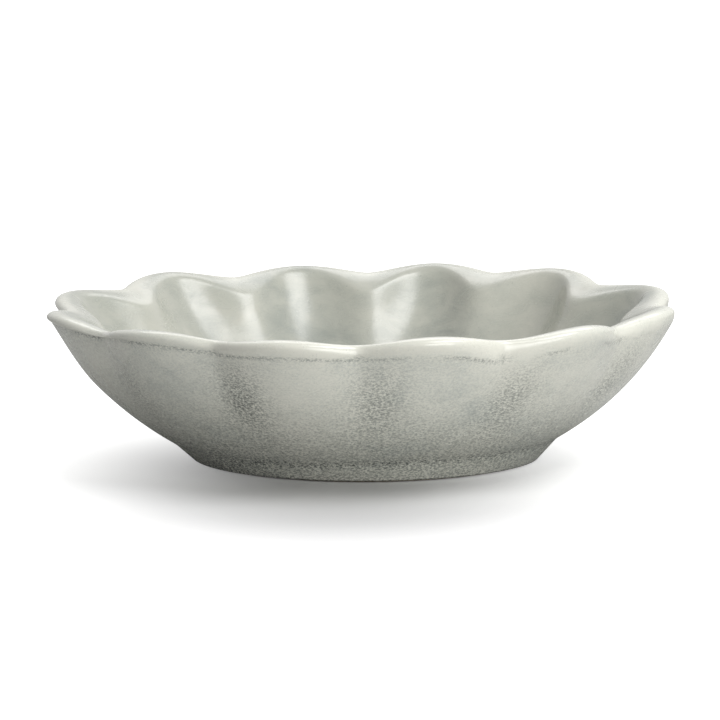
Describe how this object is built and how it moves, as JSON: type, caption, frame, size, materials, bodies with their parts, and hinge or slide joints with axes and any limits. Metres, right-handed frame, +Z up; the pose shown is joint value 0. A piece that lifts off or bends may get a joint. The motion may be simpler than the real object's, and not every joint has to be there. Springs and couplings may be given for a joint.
{
  "type": "serving bowl",
  "caption": "Round scalloped serving bowl of glazed earthenware, with a fluted wall, a rolled lip and a foot ring, for holding and serving food.",
  "frame": {"origin": "On the table plane, under the middle of the rim's box.", "axes": "+Z up through the mouth of the bowl, -Y towards the front, where one notch of the rim faces the viewer, and +X to the viewer's right."},
  "size_m": [0.2336, 0.2352, 0.0609],
  "materials": {
    "earthenware": "matte",
    "bare_foot": "matte",
    "glaze": "gloss",
    "well_glaze": "gloss"
  },
  "bodies": {
    "root": {"moulded_body": "earthenware", "rim_coil": "earthenware", "foot_ring": "bare_foot", "glaze_coat": "glaze", "foot_well_glaze": "well_glaze"}
  },
  "joints": []
}
